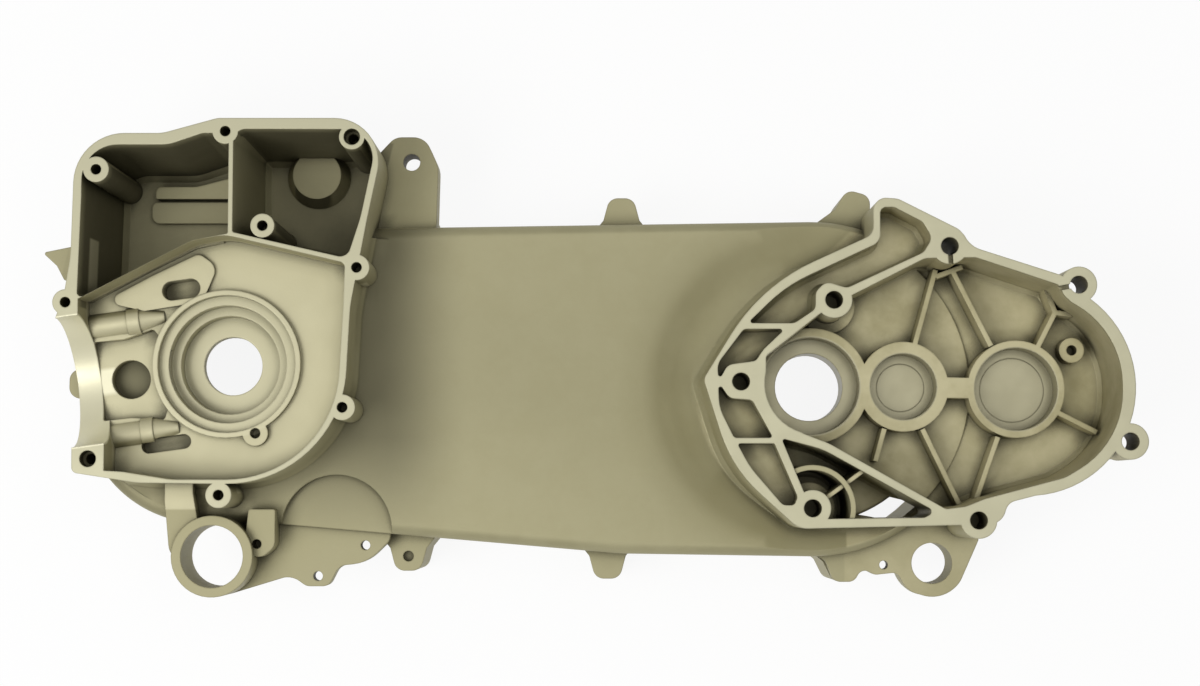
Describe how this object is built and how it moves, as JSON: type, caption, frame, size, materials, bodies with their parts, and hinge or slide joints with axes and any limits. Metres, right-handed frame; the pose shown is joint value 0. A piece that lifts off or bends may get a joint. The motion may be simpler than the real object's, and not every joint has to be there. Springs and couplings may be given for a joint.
{
  "type": "crankcase half",
  "caption": "Left crankcase half of a belt-drive scooter engine: cast crank chamber with cylinder mouth, long belt case arm and gearbox housing.",
  "frame": {"origin": "the crankshaft axis on the joint face with the other crankcase half", "axes": "+Z is the normal of the joint face, out of the crank chamber; +X runs along the arm from the crankshaft to the gearbox"},
  "size_m": [0.5351, 0.2287, 0.104],
  "materials": {
    "cast_aluminium": "matte, shot-blasted casting"
  },
  "bodies": {
    "root": {"crankcase_half": "cast_aluminium"}
  },
  "joints": []
}
